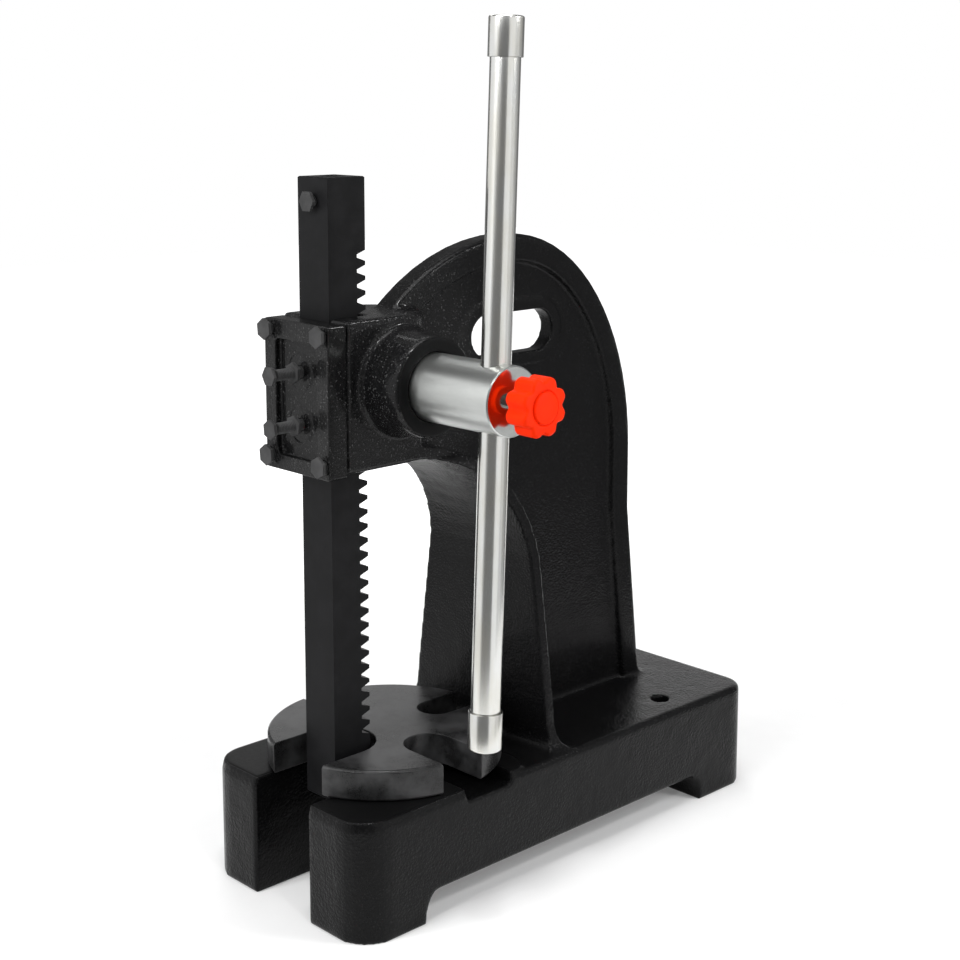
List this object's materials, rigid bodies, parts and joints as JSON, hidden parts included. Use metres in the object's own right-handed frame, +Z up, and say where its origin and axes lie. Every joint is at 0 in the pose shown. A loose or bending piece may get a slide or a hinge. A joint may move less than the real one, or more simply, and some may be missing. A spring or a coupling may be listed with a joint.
{
  "type": "arbor press",
  "caption": "Bench arbor press: C-frame casting, toothed ram driven by a pinion shaft with sliding lever bar and clamp knob, bolted gib cover and notched turning plate.",
  "frame": {"origin": "bottom centre of the box round the whole press, on the bench", "axes": "+Z up; +X towards the clamp knob; -Y the front, where the ram, the cover and its screws are"},
  "size_m": [0.2592, 0.4178, 0.6129],
  "materials": {
    "casting_paint": "rough glossy black paint over cast iron",
    "cover_paint": "rough glossy black paint over cast iron",
    "ram_steel": "satin black oxide",
    "fastener_steel": "black oxide",
    "gib_steel": "ground",
    "shaft_steel": "bright turned steel",
    "bar_steel": "bright zinc plate",
    "stud_steel": "bright zinc plate",
    "knob_plastic": "satin gloss",
    "plate_steel": "dark machined face"
  },
  "bodies": {
    "frame": {"frame_casting": "casting_paint", "front_cover": "cover_paint", "cover_bolt_1": "fastener_steel", "cover_bolt_2": "fastener_steel", "cover_bolt_3": "fastener_steel", "cover_bolt_4": "fastener_steel", "gib_strip": "gib_steel", "lock_nut_upper": "fastener_steel", "lock_nut_lower": "fastener_steel"},
    "ram": {"ram": "ram_steel", "stop_bolt": "fastener_steel"},
    "shaft": {"pinion_shaft": "shaft_steel", "retaining_washer": "fastener_steel", "retaining_bolt": "fastener_steel"},
    "lever": {"handle_bar": "bar_steel", "bar_cap_upper": "bar_steel", "bar_cap_lower": "bar_steel"},
    "knob": {"clamp_knob": "knob_plastic", "clamp_stud": "stud_steel"},
    "gib_screw_upper": {"gib_screw_upper": "fastener_steel"},
    "gib_screw_lower": {"gib_screw_lower": "fastener_steel"},
    "plate": {"turntable_plate": "plate_steel"}
  },
  "joints": [
    {"name": "ram_slide", "type": "slide", "parent": "frame", "child": "ram", "axis": [0, 0, 1], "range_m": [-0.069, 0.225]},
    {"name": "pinion_turn", "type": "hinge", "parent": "frame", "child": "shaft", "pos_m": [-0.04222, -0.12008, 0.368], "axis": [1, 0, 0], "range_deg": [-662, 204]},
    {"name": "bar_slide", "type": "slide", "parent": "shaft", "child": "lever", "axis": [0, 0.0401, 0.9992], "range_m": [-0.194, 0.186]},
    {"name": "knob_turn", "type": "hinge", "parent": "shaft", "child": "knob", "pos_m": [0.12077, -0.12008, 0.368], "axis": [1, 0, 0], "range_deg": [0, 720]},
    {"name": "gib_screw_upper_turn", "type": "hinge", "parent": "frame", "child": "gib_screw_upper", "pos_m": [-0.04222, -0.2034, 0.37745], "axis": [0, 1, 0], "range_deg": [-180, 180]},
    {"name": "gib_screw_lower_turn", "type": "hinge", "parent": "frame", "child": "gib_screw_lower", "pos_m": [-0.04222, -0.2034, 0.34125], "axis": [0, 1, 0], "range_deg": [-180, 180]},
    {"name": "plate_turn", "type": "hinge", "parent": "frame", "child": "plate", "pos_m": [-0.04222, -0.1097, 0.0863], "axis": [0, 0, 1], "range_deg": [-5.5, 5.5]}
  ],
  "couplings": [
    {"joint": "pinion_turn", "follows": "ram_slide", "rad_per_m": -51.282}
  ]
}
